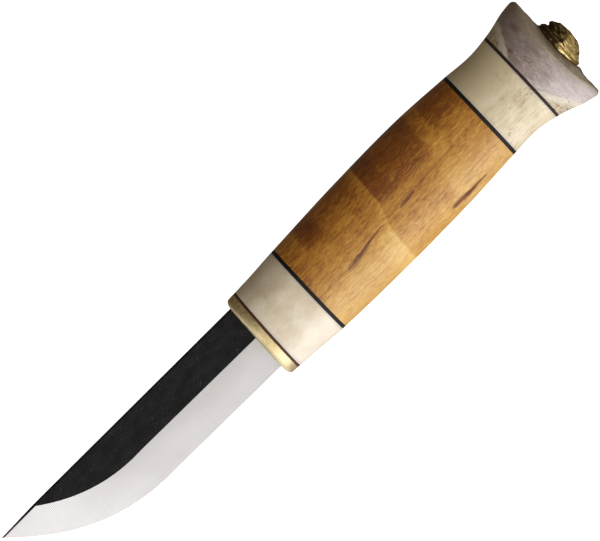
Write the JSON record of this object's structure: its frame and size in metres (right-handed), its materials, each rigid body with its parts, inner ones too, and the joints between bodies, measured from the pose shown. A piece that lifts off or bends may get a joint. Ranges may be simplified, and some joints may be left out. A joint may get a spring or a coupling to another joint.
{
  "type": "puukko belt knife",
  "caption": "Fixed-blade belt knife with a scandi-ground blade and an oval handle of antler and curly birch, flared at the butt.",
  "frame": {"origin": "on the bolster's front face, where the blade's shoulders seat, level with the middle of the handle there and halfway through its thickness", "axes": "+X along the handle towards the butt, so the blade's tip points to -X; +Y from the cutting edge to the spine; +Z out of the blade's upper flat, so the knife lies on its side"},
  "size_m": [0.1905, 0.0319, 0.0212],
  "materials": {
    "blade_steel": "satin ground bevel under flats of black forge scale",
    "bolster_brass": "brushed, with darker tarnish towards the spine",
    "liner_fibre": "mottled dark brown, cut flush",
    "front_antler_bone": "polished ivory with soft mottling",
    "spacer_fibre": "black, cut flush",
    "curly_birch": "oiled and polished, with curled figure and fine grain",
    "rear_antler_bone": "polished yellowish ivory with small brown pores",
    "crown_antler": "polished, grey-lilac spongy core between ivory corners",
    "bedding_resin": "cured resin, hidden",
    "washer_brass": "plain, hidden",
    "cap_brass": "rough cast, bright on its high spots and dark in its folds"
  },
  "bodies": {
    "root": {"blade": "blade_steel", "bolster": "bolster_brass", "front_liner": "liner_fibre", "front_antler": "front_antler_bone", "front_spacer": "spacer_fibre", "birch_grip": "curly_birch", "rear_spacer": "spacer_fibre", "rear_antler": "rear_antler_bone", "butt_liner": "liner_fibre", "antler_butt": "crown_antler", "tang_bedding": "bedding_resin", "rivet_washer": "washer_brass", "pommel_cap": "cap_brass"}
  },
  "joints": []
}
